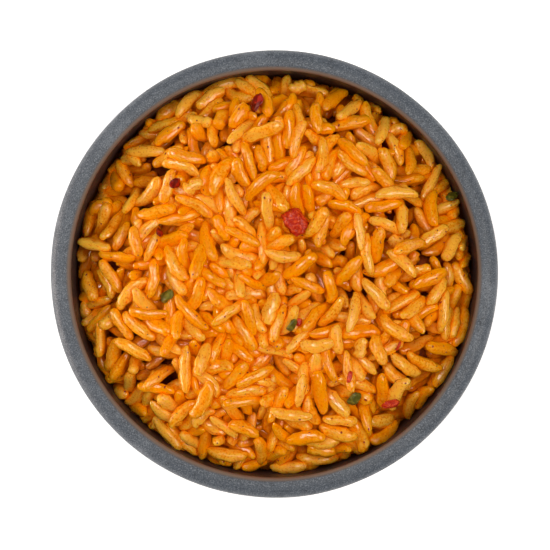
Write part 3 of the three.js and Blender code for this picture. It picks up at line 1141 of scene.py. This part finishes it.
def rice_material(rice):
    """Steamed parboiled rice in a seasoned oil.

    It gives the eye moist, translucent grains: golden orange, paler and streaked along the ridge where the
    starch shows, paler on top partly as painted light, deeper where grains touch, darker as painted shade
    where they lie low, mottled by the oil, pricked with fine spice, and with thin broken highlights. Where
    grains touch, a painted glow stands in for light that seeps through them.
    """
    material, tree, shader, place = new_material("steamed_seasoned_rice")
    patch_size, film_size, grit_size, spice_size = 3.4 * MM, 4.5 * MM, 0.55 * MM, 1.05 * MM
    tint, touch, depth = [
        add_node(tree, "ShaderNodeAttribute", {"attribute_name": name}).outputs["Fac"]
        for name in ("tint", "touch", "depth")
    ]
    local = add_node(tree, "ShaderNodeAttribute", {"attribute_name": "grain_place"}).outputs["Vector"]
    # Each grain has its own patterns, this far apart in the noise, and they are stretched along it.
    apart = add_node(tree, "ShaderNodeMath", {"operation": "MULTIPLY"}, {0: tint, 1: 40.0})
    along = add_node(tree, "ShaderNodeSeparateXYZ", inputs={0: local}).outputs["X"]
    outwards = add_node(tree, "ShaderNodeMath", {"operation": "ABSOLUTE"}, {0: along})
    end = add_node(tree, "ShaderNodeMath", {"operation": "POWER"}, {0: outwards, 1: 2.5})
    stretched = add_node(
        tree, "ShaderNodeVectorMath", {"operation": "MULTIPLY"}, {0: local, 1: (3.2, 6.0, 6.0)}
    )
    ridges, patches, film, grit = [
        add_node(
            tree,
            "ShaderNodeTexNoise",
            {"noise_dimensions": "4D"},
            {"Vector": where, "W": w, "Scale": scale, "Detail": detail},
        )
        for where, w, scale, detail in (
            (stretched, apart, 1.0, 3.0),
            (place, apart, 1 / patch_size, 2.0),
            (place, 0.0, 1 / film_size, 3.0),
            (place, 0.0, 1 / grit_size, 2.0),
        )
    ]
    spice = add_node(tree, "ShaderNodeTexVoronoi", inputs={"Vector": place, "Scale": 1 / spice_size})
    normal = add_node(tree, "ShaderNodeNewGeometry").outputs["Normal"]
    up = add_node(tree, "ShaderNodeSeparateXYZ", inputs={0: normal}).outputs["Z"]
    # Tops are paler partly from starch and drained oil and partly as painted light from above.
    paleness = weighted_sum(
        tree,
        (
            (1.5, patches),
            (3.0, ridges),
            (3.4, grit),
            (1.9, tint),
            (1.1, up),
            (-0.5, touch),
            (-0.4, depth),
            (-1.2, end),
        ),
    )
    # More oil towards the sides and where grains touch; rice that lies deep gets more of it as painted
    # shade.
    oiliness = weighted_sum(tree, ((1.0, film), (0.25, touch), (-0.25, up), (0.4, depth)))
    colour = mixed_colours(
        tree,
        rice.stain,
        (
            (paleness, 5.05, 6.6, 1.0, rice.starch),
            (oiliness, 0.42, 0.80, 0.85, rice.film),
            (grit, 0.46, 0.34, 0.4, rice.powder),
            (spice.outputs["Distance"], 0.10, 0.05, 0.65, rice.fleck),
            # Painted shade: rice that lies deep below the heap's surface is darkened towards the core
            # colour.
            (depth, 0.35, 1.0, 0.5, rice.core),
        ),
    )
    # Light that seeps through from grain to grain, which rays alone would take too long to carry.
    shallow = add_node(tree, "ShaderNodeMath", {"operation": "MULTIPLY_ADD"}, {0: depth, 1: -0.18, 2: 0.23})
    seeping = add_node(tree, "ShaderNodeMath", {"operation": "MULTIPLY"}, {0: touch, 1: shallow})
    ridged = add_node(
        tree, "ShaderNodeBump", inputs={"Height": ridges, "Strength": 0.6, "Distance": 0.22 * MM}
    )
    # The oil on the grains is rougher than the grains below it, so that highlights break up.
    grain_bump, oil_bump = [
        add_node(
            tree,
            "ShaderNodeBump",
            inputs={"Height": grit, "Strength": 1.0, "Distance": height, "Normal": ridged},
        )
        for height in (0.04 * MM, 0.08 * MM)
    ]
    looks = {
        "Base Color": colour,
        "Emission Color": linear_colour("#F29800"),
        "Emission Strength": seeping,
        "Normal": grain_bump,
        "Roughness": 0.35,
        "IOR": 1.4,
        "Specular IOR Level": 0.0,
        "Subsurface Weight": 1.0,
        "Subsurface Radius": (1.0, 0.6, 0.2),
        "Subsurface Scale": 2.0 * MM,
        "Coat Normal": oil_bump,
        "Coat Weight": 1.0,
        "Coat Roughness": 0.1,
        "Coat IOR": 1.66,
        "Coat Tint": linear_colour("#FFE2A8"),
    }
    set_inputs(tree, shader, looks)
    return material


def core_material(rice):
    """Rice deep in the heap, painted dark as shade, so that gaps between grains read as depth."""
    material, tree, shader, place = new_material("shaded_rice")
    grain_size = 2.8 * MM
    lumps = add_node(
        tree, "ShaderNodeTexNoise", inputs={"Vector": place, "Scale": 1 / grain_size, "Detail": 3.0}
    )
    colour = mixed_colours(tree, linear_colour("#5A1E04"), [(lumps, 0.35, 0.65, 1.0, rice.core)])
    bump = add_node(tree, "ShaderNodeBump", inputs={"Height": lumps, "Strength": 0.8, "Distance": 1 * MM})
    looks = {"Base Color": colour, "Normal": bump, "Roughness": 0.5, "Specular IOR Level": 0.1}
    set_inputs(tree, shader, looks)
    return material


# ---- Bits of vegetable ----------------------------------------------------------------------------


def soft_chip(name, size, roundness, lumps, bend, seed, cuts=9):
    """A soft cut piece: a block with rounded edges, uneven sides and a bend."""
    lump_rate, fine_rate, fine_share = 1.7, 5.5, 0.35
    noise.seed_set(seed)  # without a seed, noise_vector differs from run to run
    form = bmesh.new()
    bmesh.ops.create_cube(form, size=2)
    bmesh.ops.subdivide_edges(form, edges=form.edges, cuts=cuts, use_grid_fill=True)
    for vert in form.verts:
        reach = sum(abs(c) ** roundness for c in vert.co) ** (1 / roundness)
        spot = vert.co / reach
        lump = noise.noise_vector(spot * lump_rate + Vector((seed, 0, 0))) * lumps
        fine = noise.noise_vector(spot * fine_rate + Vector((0, seed, 0))) * lumps * fine_share
        spot = spot + lump + fine
        spot.z -= bend * spot.x * spot.x
        vert.co = Vector((spot.x * size[0], spot.y * size[1], spot.z * size[2])) / 2
    mesh = mesh_from(form, name)
    mesh.shade_smooth()
    return mesh


def flesh_material(name, main, second, patch_size, roughness):
    """Cooked vegetable flesh: wet, a little translucent, and streaked where its cells have burst."""
    material, tree, shader, place = new_material(name)
    cell_size = 0.35 * MM
    streaks = add_node(
        tree,
        "ShaderNodeTexNoise",
        inputs={"Vector": place, "Scale": 1 / patch_size, "Detail": 4.0, "Distortion": 1.2},
    )
    cells = add_node(
        tree, "ShaderNodeTexNoise", inputs={"Vector": place, "Scale": 1 / cell_size, "Detail": 2.0}
    )
    streaked = add_node(
        tree, "ShaderNodeBump", inputs={"Height": streaks, "Strength": 0.6, "Distance": 0.3 * MM}
    )
    bump = add_node(
        tree,
        "ShaderNodeBump",
        inputs={"Height": cells, "Strength": 0.45, "Distance": 0.12 * MM, "Normal": streaked},
    )
    looks = {
        "Base Color": mixed_colours(tree, main, [(streaks, 0.42, 0.70, 1.0, second)]),
        "Normal": bump,
        "Roughness": roughness,
        "IOR": 1.4,
        "Specular IOR Level": 0.6,
        "Subsurface Weight": 0.3,
        "Subsurface Radius": (1.0, 0.25, 0.1),
        "Subsurface Scale": 1.2 * MM,
    }
    set_inputs(tree, shader, looks)
    return material


class Bit(NamedTuple):
    """A small bit of vegetable: where it lies in the photograph, and what it is like."""

    pixel: tuple
    size: tuple  # in millimetres
    heading: float  # in degrees
    sink: float  # how deep it lies, as a share of its thickness
    bend: float
    flesh: str


VEGETABLE_BITS = {
    "tomato_bit_low_right": Bit((391, 404), (4.4, 2.6, 1.6), -8, 0.45, 0.15, "tomato"),
    "tomato_bit_beside_pepper": Bit((299, 322), (1.9, 1.2, 0.9), 70, 0.2, 0.1, "tomato"),
    "tomato_strip_right": Bit((349, 376), (2.8, 1.1, 0.8), 75, 0.2, 0.3, "tomato"),
    "tomato_strip_thin": Bit((398, 346), (2.6, 0.8, 0.6), 80, 0.1, 0.2, "tomato"),
    "tomato_skin_top": Bit((256, 103), (4.6, 3.8, 0.7), 40, 1.6, 0.9, "tomato_skin"),
    "tomato_skin_left": Bit((176, 184), (2.8, 2.4, 0.7), 10, 1.0, 0.6, "tomato_skin"),
    "tomato_skin_middle": Bit((160, 232), (2.6, 2.0, 0.6), 60, 0.8, 0.6, "tomato_skin"),
    "pepper_low_right": Bit((354, 399), (3.6, 2.7, 1.1), 55, 0.3, 0.4, "pepper"),
    "pepper_middle": Bit((292, 325), (3.1, 2.0, 0.9), 62, 0.3, 0.4, "pepper"),
    "pepper_left": Bit((167, 296), (3.9, 2.4, 0.9), 28, 0.3, 0.4, "pepper"),
    "pepper_right": Bit((454, 195), (3.8, 2.5, 1.0), 68, 0.4, 0.3, "pepper"),
}


def at_pixel(stage, pixel, height):
    """The point at this height that the camera sees at a pixel of the photograph."""
    at_rim = RIM_RADIUS / PHOTO_RIM_RADIUS
    scale = at_rim * (stage.camera_height - height) / (stage.camera_height - RIM_HEIGHT)
    x = (pixel[0] - PHOTO_CENTRE_X) * scale
    y = (PHOTO_CENTRE_Y - pixel[1]) * scale
    return Vector((x, y, height))


def surface_below(pieces):
    """A tree for finding where a ray meets these pieces."""
    points, faces = [], []
    for piece in pieces:
        start = len(points)
        points += [v.co.copy() for v in piece.data.vertices]
        faces += [tuple(start + i for i in p.vertices) for p in piece.data.polygons]
    return BVHTree.FromPolygons(points, faces)


def lay_on(mesh, surface, place, size, heading, sink):
    """Moves a chip onto the grains below it, tilted as they are, and sunk between them."""
    above, down = 0.1, Vector((0, 0, -1))
    turn = Matrix.Rotation(math.radians(heading), 3, "Z")
    rows, heights = [], []
    for u in (-0.4, 0, 0.4):
        for v in (-0.4, 0, 0.4):
            spot = turn @ Vector((u * size.x, v * size.y, 0))
            hit = surface.ray_cast(Vector((place.x + spot.x, place.y + spot.y, above)), down)[0]
            if hit:
                rows.append((spot.x, spot.y, 1))
                heights.append(hit.z)
    slope_x, slope_y, _ = np.linalg.lstsq(np.array(rows), np.array(heights), rcond=None)[0]
    normal = Vector((-slope_x, -slope_y, 1)).normalized()
    tilt = Vector((0, 0, 1)).rotation_difference(normal).to_matrix()
    height = max(heights) - size.z / 2 * (2 * sink - 1)
    mesh.transform((tilt @ turn).to_4x4())
    mesh.transform(Matrix.Translation((place.x, place.y, height)))


# ---- Spice ----------------------------------------------------------------------------------------


def fleck_mesh(name, seed):
    """A flat crumb of ground spice one metre across, for the tree to bring to size."""
    form = bmesh.new()
    bmesh.ops.create_icosphere(form, subdivisions=1, radius=0.5)
    random = np.random.default_rng(seed)
    for vert in form.verts:
        vert.co *= random.uniform(0.6, 1.15)
        vert.co.z *= 0.45
    return mesh_from(form, name)


def sprinkling_tree():
    """Sprinkles flecks over what faces up of a surface, and keeps only the flecks."""
    tree = new_tree(
        "Sprinkled flecks",
        {
            "Surface": "NodeSocketGeometry",
            "Shapes": "NodeSocketCollection",
            "Size": "NodeSocketFloat",
            "Density": "NodeSocketFloat",
            "Seed": "NodeSocketInt",
            "Material": "NodeSocketMaterial",
        },
    )
    given = add_node(tree, "NodeGroupInput").outputs
    normal = add_node(tree, "GeometryNodeInputNormal")
    up = add_node(tree, "ShaderNodeSeparateXYZ", inputs={0: normal})
    facing = add_node(tree, "ShaderNodeMath", {"operation": "GREATER_THAN"}, {0: up.outputs["Z"], 1: 0.25})
    points = add_node(
        tree,
        "GeometryNodeDistributePointsOnFaces",
        {"distribute_method": "RANDOM"},
        {
            "Mesh": given["Surface"],
            "Selection": facing,
            "Density": given["Density"],
            "Seed": given["Seed"],
        },
    )
    shapes = add_node(
        tree,
        "GeometryNodeCollectionInfo",
        inputs={"Collection": given["Shapes"], "Separate Children": True, "Reset Children": True},
    )
    spin = add_node(
        tree,
        "FunctionNodeRandomValue",
        {"data_type": "FLOAT"},
        {"Min_001": 0.0, "Max_001": FULL_TURN, "Seed": given["Seed"]},
    )
    spun = add_node(tree, "ShaderNodeCombineXYZ", inputs={"Z": socket_of(spin.outputs, "Value_001")})
    turn = add_node(
        tree,
        "FunctionNodeRotateRotation",
        {"rotation_space": "LOCAL"},
        {"Rotation": points.outputs["Rotation"], "Rotate By": spun},
    )
    variety = add_node(
        tree,
        "FunctionNodeRandomValue",
        {"data_type": "FLOAT_VECTOR"},
        {"Min": (0.5, 0.4, 0.5), "Max": (1.6, 1.1, 1.0), "Seed": given["Seed"]},
    )
    size = add_node(
        tree,
        "ShaderNodeVectorMath",
        {"operation": "SCALE"},
        {"Vector": socket_of(variety.outputs, "Value"), "Scale": given["Size"]},
    )
    placed = add_node(
        tree,
        "GeometryNodeInstanceOnPoints",
        inputs={
            "Points": points.outputs["Points"],
            "Instance": shapes,
            "Pick Instance": True,
            "Rotation": turn,
            "Scale": size,
        },
    )
    end_tree(tree, placed, given["Material"])
    return tree


def spice_material(name, colour, second):
    """Ground spice and chilli: dry, dark and matt, softened by a trace of oil."""
    material, tree, shader, place = new_material(name)
    crumb_size = 0.6 * MM
    crumbs = add_node(
        tree, "ShaderNodeTexNoise", inputs={"Vector": place, "Scale": 1 / crumb_size, "Detail": 1.0}
    )
    mix = add_node(
        tree,
        "ShaderNodeMix",
        {"data_type": "RGBA"},
        {"Factor_Float": crumbs, "A_Color": colour, "B_Color": second},
    )
    set_inputs(tree, shader, {"Base Color": mix.outputs[2], "Roughness": 0.5})
    return material


# ---- Stage ----------------------------------------------------------------------------------------


def floor_material(stage):
    """A light table of white acrylic: a plain pale ground that softens the bowl's shadow."""
    material, tree, shader, place = new_material("white_acrylic")
    cloud_size = 90 * MM
    clouds = add_node(
        tree, "ShaderNodeTexNoise", inputs={"Vector": place, "Scale": 1 / cloud_size, "Detail": 2.0}
    )
    mix = add_node(
        tree,
        "ShaderNodeMix",
        {"data_type": "RGBA"},
        {"Factor_Float": clouds, "A_Color": stage.floor, "B_Color": linear_colour("#FBFBFA")},
    )
    looks = {
        "Base Color": mix.outputs[2],
        "Emission Color": mix.outputs[2],
        "Emission Strength": stage.floor_glow,
        "Roughness": 0.9,
    }
    set_inputs(tree, shader, looks)
    return material


def add_area_light(name, azimuth, elevation, distance, size, power, colour):
    """A soft box that stands this way from the bowl and faces its rim."""
    light = bpy.data.lights.new(name, "AREA")
    light.shape = "RECTANGLE"
    light.size, light.size_y = size
    light.energy = power
    light.color = linear_colour(colour)[:3]
    lamp = bpy.data.objects.new(name, light)
    bpy.context.scene.collection.objects.link(lamp)
    a, e = math.radians(azimuth), math.radians(elevation)
    away = Vector((math.cos(a) * math.cos(e), math.sin(a) * math.cos(e), math.sin(e)))
    lamp.location = Vector((0, 0, RIM_HEIGHT)) + away * distance
    lamp.rotation_euler = away.to_track_quat("Z", "Y").to_euler()


def add_camera(stage):
    """The camera, straight above the bowl, so that the rim's circle falls where the photograph has it."""
    camera = bpy.data.cameras.new("camera")
    above_edge = stage.camera_height - RIM_HEIGHT
    focal_pixels = PHOTO_RIM_RADIUS * above_edge / RIM_RADIUS
    camera.sensor_width = 36.0
    camera.lens = focal_pixels * camera.sensor_width / IMAGE_SIZE
    camera.clip_start, camera.clip_end = 0.01, 10
    eye = bpy.data.objects.new("camera", camera)
    bpy.context.scene.collection.objects.link(eye)
    middle = IMAGE_SIZE / 2
    pixel = above_edge / focal_pixels
    eye.location = (
        (middle - PHOTO_CENTRE_X) * pixel,
        (PHOTO_CENTRE_Y - middle) * pixel,
        stage.camera_height,
    )
    bpy.context.scene.camera = eye


# ---- Operators ------------------------------------------------------------------------------------


class RICEBOWL_OT_stage(bpy.types.Operator):
    """Adds the camera, the lights and a pale floor"""

    bl_idname = "rice_bowl.stage"
    bl_label = "Add stage"

    def execute(self, context):
        scene = context.scene
        stage = scene.rice_bowl_stage
        add_camera(stage)
        # Each light: azimuth and elevation in degrees, distance and size in metres, watts, and colour.
        add_area_light("key_light", 138, 70, 0.9, (0.26, 0.26), stage.key_power, "#FFFDF8")
        add_area_light("side_light", 184, 3, 0.8, (0.6, 0.25), stage.side_power, "#FFEBDC")
        add_area_light("far_light", -15, 60, 0.9, (0.5, 0.3), stage.far_power, "#FFF6EA")
        scene.world = bpy.data.worlds.new("studio")
        scene.world.use_nodes = True
        tree = scene.world.node_tree
        # The light all round is left out of mirror images, which would veil the wet grains.
        mirrored = add_node(tree, "ShaderNodeLightPath").outputs["Is Glossy Ray"]
        inputs = {0: mirrored, 1: -stage.fill, 2: stage.fill}
        strength = add_node(tree, "ShaderNodeMath", {"operation": "MULTIPLY_ADD"}, inputs)
        looks = {"Color": linear_colour("#FDFCFF"), "Strength": strength}
        set_inputs(tree, tree.nodes["Background"], looks)
        scene.view_settings.view_transform = "Standard"
        half = 3.0
        corners = [(-half, -half, 0), (half, -half, 0), (half, half, 0), (-half, half, 0)]
        floor = new_piece("floor", mesh_of("floor", corners, [(0, 1, 2, 3)]), floor_material(stage))
        return {"FINISHED"}


class RICEBOWL_OT_bowl(bpy.types.Operator):
    """Turns the stoneware bowl and glazes it"""

    bl_idname = "rice_bowl.bowl"
    bl_label = "Turn bowl"

    def execute(self, context):
        dish = context.scene.rice_bowl_dish
        outline = mesh_of("outline", [(r, 0, z) for r, z in bowl_outline(dish)], [])
        values = {
            "Sectors": dish.sectors,
            "Unevenness": dish.unevenness,
            "Unevenness width": 38 * MM,
            "Material": stoneware_material(dish),
        }
        bowl = made_by(turning_tree(), "stoneware_bowl", outline, values)
        face_outwards(bowl.data)
        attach(bowl, BODY)
        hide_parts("bowl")
        return {"FINISHED"}


class RICEBOWL_OT_rice(bpy.types.Operator):
    """Fills the bowl: the core, and the loose grains that settle on it"""

    bl_idname = "rice_bowl.rice"
    bl_label = "Fill with rice"
    roll_spread = 0.6
    shape_seed = 100

    def execute(self, context):
        scene = context.scene
        dish, rice = scene.rice_bowl_dish, scene.rice_bowl_rice
        inner = RIM_RADIUS - dish.rim_width
        core_gap, start_gap = 1.2 * MM, 1.6 * MM
        surface = HeapSurface(inner - core_gap, rice.loose_depth)
        core = new_piece("rice_core", core_mesh(dish, surface), core_material(rice))
        random = np.random.default_rng(rice.seed)
        grains = scattered_grains(rice, surface, inner - start_gap, random)
        rest = surface.core, surface.core_normal, lambda z: wall_radius(dish, z), tomato_beads()
        # Grains that jammed on top of the heap are taken away, and the others close the gaps.
        most_above = 3.3 * MM
        sink, close_up = [(60, 0.5 * MM), (70, 0.3 * MM)], [(25, 0.15 * MM), (25, 0.03 * MM)]
        for plan in (sink, close_up, []):
            settling = Settling(grains, *rest)
            settling.run(plan)
            lying = settling.lying(surface.height, most_above)
            grains = {key: values[lying] for key, values in grains.items()}
        settling = Settling(grains, *rest)
        material = rice_material(rice)
        loose = self.grain_pieces(rice, grains, random, material)
        mark_hidden(loose, settling, surface)
        for piece in [core, *loose]:
            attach(piece, BODY)
            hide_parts("rice_heap")
        return {"FINISHED"}

    def grain_pieces(self, rice, grains, random, material):
        """One piece for each kind of grain."""
        count = len(grains["centre"])
        chances, tints = random.random(count), random.random(count)
        rolls = random.normal(0, self.roll_spread, count)
        picks = random.integers(0, 1 << 16, count)
        tree = scattering_tree()
        pieces = []
        for name, shapes in GRAIN_KINDS.items():
            meshes = [
                grain_mesh(f"{name}_{k:02d}", *shape, seed=self.shape_seed + k)
                for k, shape in enumerate(shapes)
            ]
            collection = hidden_collection(name + "_shapes", meshes)
            mine = [i for i in range(count) if grain_kind(grains["broken"][i], chances[i]) == name]
            turns = [grain_turn(grains["heading"][i], rolls[i]) for i in mine]
            attributes = {
                "turn": ("QUATERNION", "value", turns),
                "size_share": ("FLOAT_VECTOR", "vector", grains["size"][mine]),
                "shape": ("INT", "value", picks[mine] % len(shapes)),
                "tint": ("FLOAT", "value", tints[mine]),
                "grain": ("INT", "value", mine),
            }
            values = {
                "Shapes": collection,
                "Length": rice.grain_length,
                "Width": rice.grain_width,
                "Thickness": rice.grain_thickness,
                "Material": material,
            }
            cloud = point_cloud(name, grains["centre"][mine], attributes)
            pieces.append(made_by(tree, name, cloud, values))
            discard_collection(collection)
        return pieces


class RICEBOWL_OT_vegetables(bpy.types.Operator):
    """Lays the tomato and pepper among the grains"""

    bl_idname = "rice_bowl.vegetables"
    bl_label = "Add vegetables"

    def execute(self, context):
        scene = context.scene
        bits, stage = scene.rice_bowl_bits, scene.rice_bowl_stage
        flesh = {
            "tomato": flesh_material("cooked_tomato_flesh", bits.tomato, bits.tomato_pale, 1 * MM, 0.25),
            "tomato_skin": flesh_material("tomato_skin", bits.tomato_skin, bits.tomato, 1.8 * MM, 0.22),
            "pepper": flesh_material("cooked_green_pepper", bits.pepper_dark, bits.pepper, 1.6 * MM, 0.3),
        }
        middle, turn = tomato_place()
        dice = soft_chip("tomato_dice", TOMATO_SIZE, roundness=3.6, lumps=0.26, bend=0, seed=5, cuts=15)
        dice.transform(Matrix.Translation(middle) @ turn)
        piece = new_piece("tomato_dice", dice, flesh["tomato"])
        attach(piece, BODY)
        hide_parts("tomato_piece")
        grains = surface_below([scene.objects[name] for name in ("rice_core", *GRAIN_KINDS)])
        for k, (name, bit) in enumerate(VEGETABLE_BITS.items()):
            kind, size = bit.flesh, Vector(bit.size) * MM
            chip = soft_chip(name, size, roundness=3, lumps=0.2, bend=bit.bend, seed=20 + k)
            lay_on(chip, grains, at_pixel(stage, bit.pixel, RIM_HEIGHT), size, bit.heading, bit.sink)
            piece = new_piece(name, chip, flesh[kind])
            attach(piece, BODY)
        return {"FINISHED"}


class RICEBOWL_OT_spice(bpy.types.Operator):
    """Sprinkles ground spice and chilli over the grains"""

    bl_idname = "rice_bowl.spice"
    bl_label = "Sprinkle spice"

    def execute(self, context):
        scene = context.scene
        bits = scene.rice_bowl_bits
        tree = sprinkling_tree()
        shapes = hidden_collection("fleck_shapes", [fleck_mesh(f"fleck_{k}", k) for k in range(3)])
        dark = spice_material("ground_spice", bits.spice, linear_colour("#7A2408"))
        red = spice_material("chilli_flakes", bits.chilli, linear_colour("#7C1206"))
        for name, size, density, material in (
            ("spice_flecks", bits.spice_size, bits.spice_density, dark),
            ("chilli_flakes", bits.chilli_size, bits.chilli_density, red),
        ):
            surface = bmesh.new()
            for kind in GRAIN_KINDS:
                surface.from_mesh(scene.objects[kind].data)
            values = {"Shapes": shapes, "Size": size, "Density": density, "Seed": 4, "Material": material}
            piece = made_by(tree, name, mesh_from(surface, name), values)
            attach(piece, BODY)
        discard_collection(shapes)
        return {"FINISHED"}


class RICEBOWL_PT_panel(bpy.types.Panel):
    """Lists the steps that build the bowl of rice"""

    bl_idname = "RICEBOWL_PT_panel"
    bl_label = "Bowl of seasoned rice"
    bl_space_type = "VIEW_3D"
    bl_region_type = "UI"
    bl_category = "Rice bowl"

    def draw(self, context):
        layout = self.layout
        for operator, settings in STEPS:
            box = layout.box()
            if settings:
                group = getattr(context.scene, settings)
                for prop in group.bl_rna.properties:
                    if prop.identifier not in {"rna_type", "name"}:
                        box.prop(group, prop.identifier)
            box.operator(operator.bl_idname)


SETTINGS = {
    "rice_bowl_dish": DishSettings,
    "rice_bowl_rice": RiceSettings,
    "rice_bowl_bits": BitsSettings,
    "rice_bowl_stage": StageSettings,
}
STEPS = [
    (RICEBOWL_OT_stage, "rice_bowl_stage"),
    (RICEBOWL_OT_bowl, "rice_bowl_dish"),
    (RICEBOWL_OT_rice, "rice_bowl_rice"),
    (RICEBOWL_OT_vegetables, "rice_bowl_bits"),
    (RICEBOWL_OT_spice, None),
]
CLASSES = [*SETTINGS.values(), *[operator for operator, _ in STEPS], RICEBOWL_PT_panel]


def register():
    for cls in CLASSES:
        bpy.utils.register_class(cls)
    for name, cls in SETTINGS.items():
        setattr(bpy.types.Scene, name, bpy.props.PointerProperty(type=cls))


def unregister():
    for name in SETTINGS:
        delattr(bpy.types.Scene, name)
    for cls in reversed(CLASSES):
        bpy.utils.unregister_class(cls)


def main():
    """Builds the bowl of rice."""
    register()
    bpy.ops.rice_bowl.stage()
    bpy.ops.rice_bowl.bowl()
    bpy.ops.rice_bowl.rice()
    bpy.ops.rice_bowl.vegetables()
    bpy.ops.rice_bowl.spice()
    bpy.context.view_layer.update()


if __name__ == "__main__":
    main()
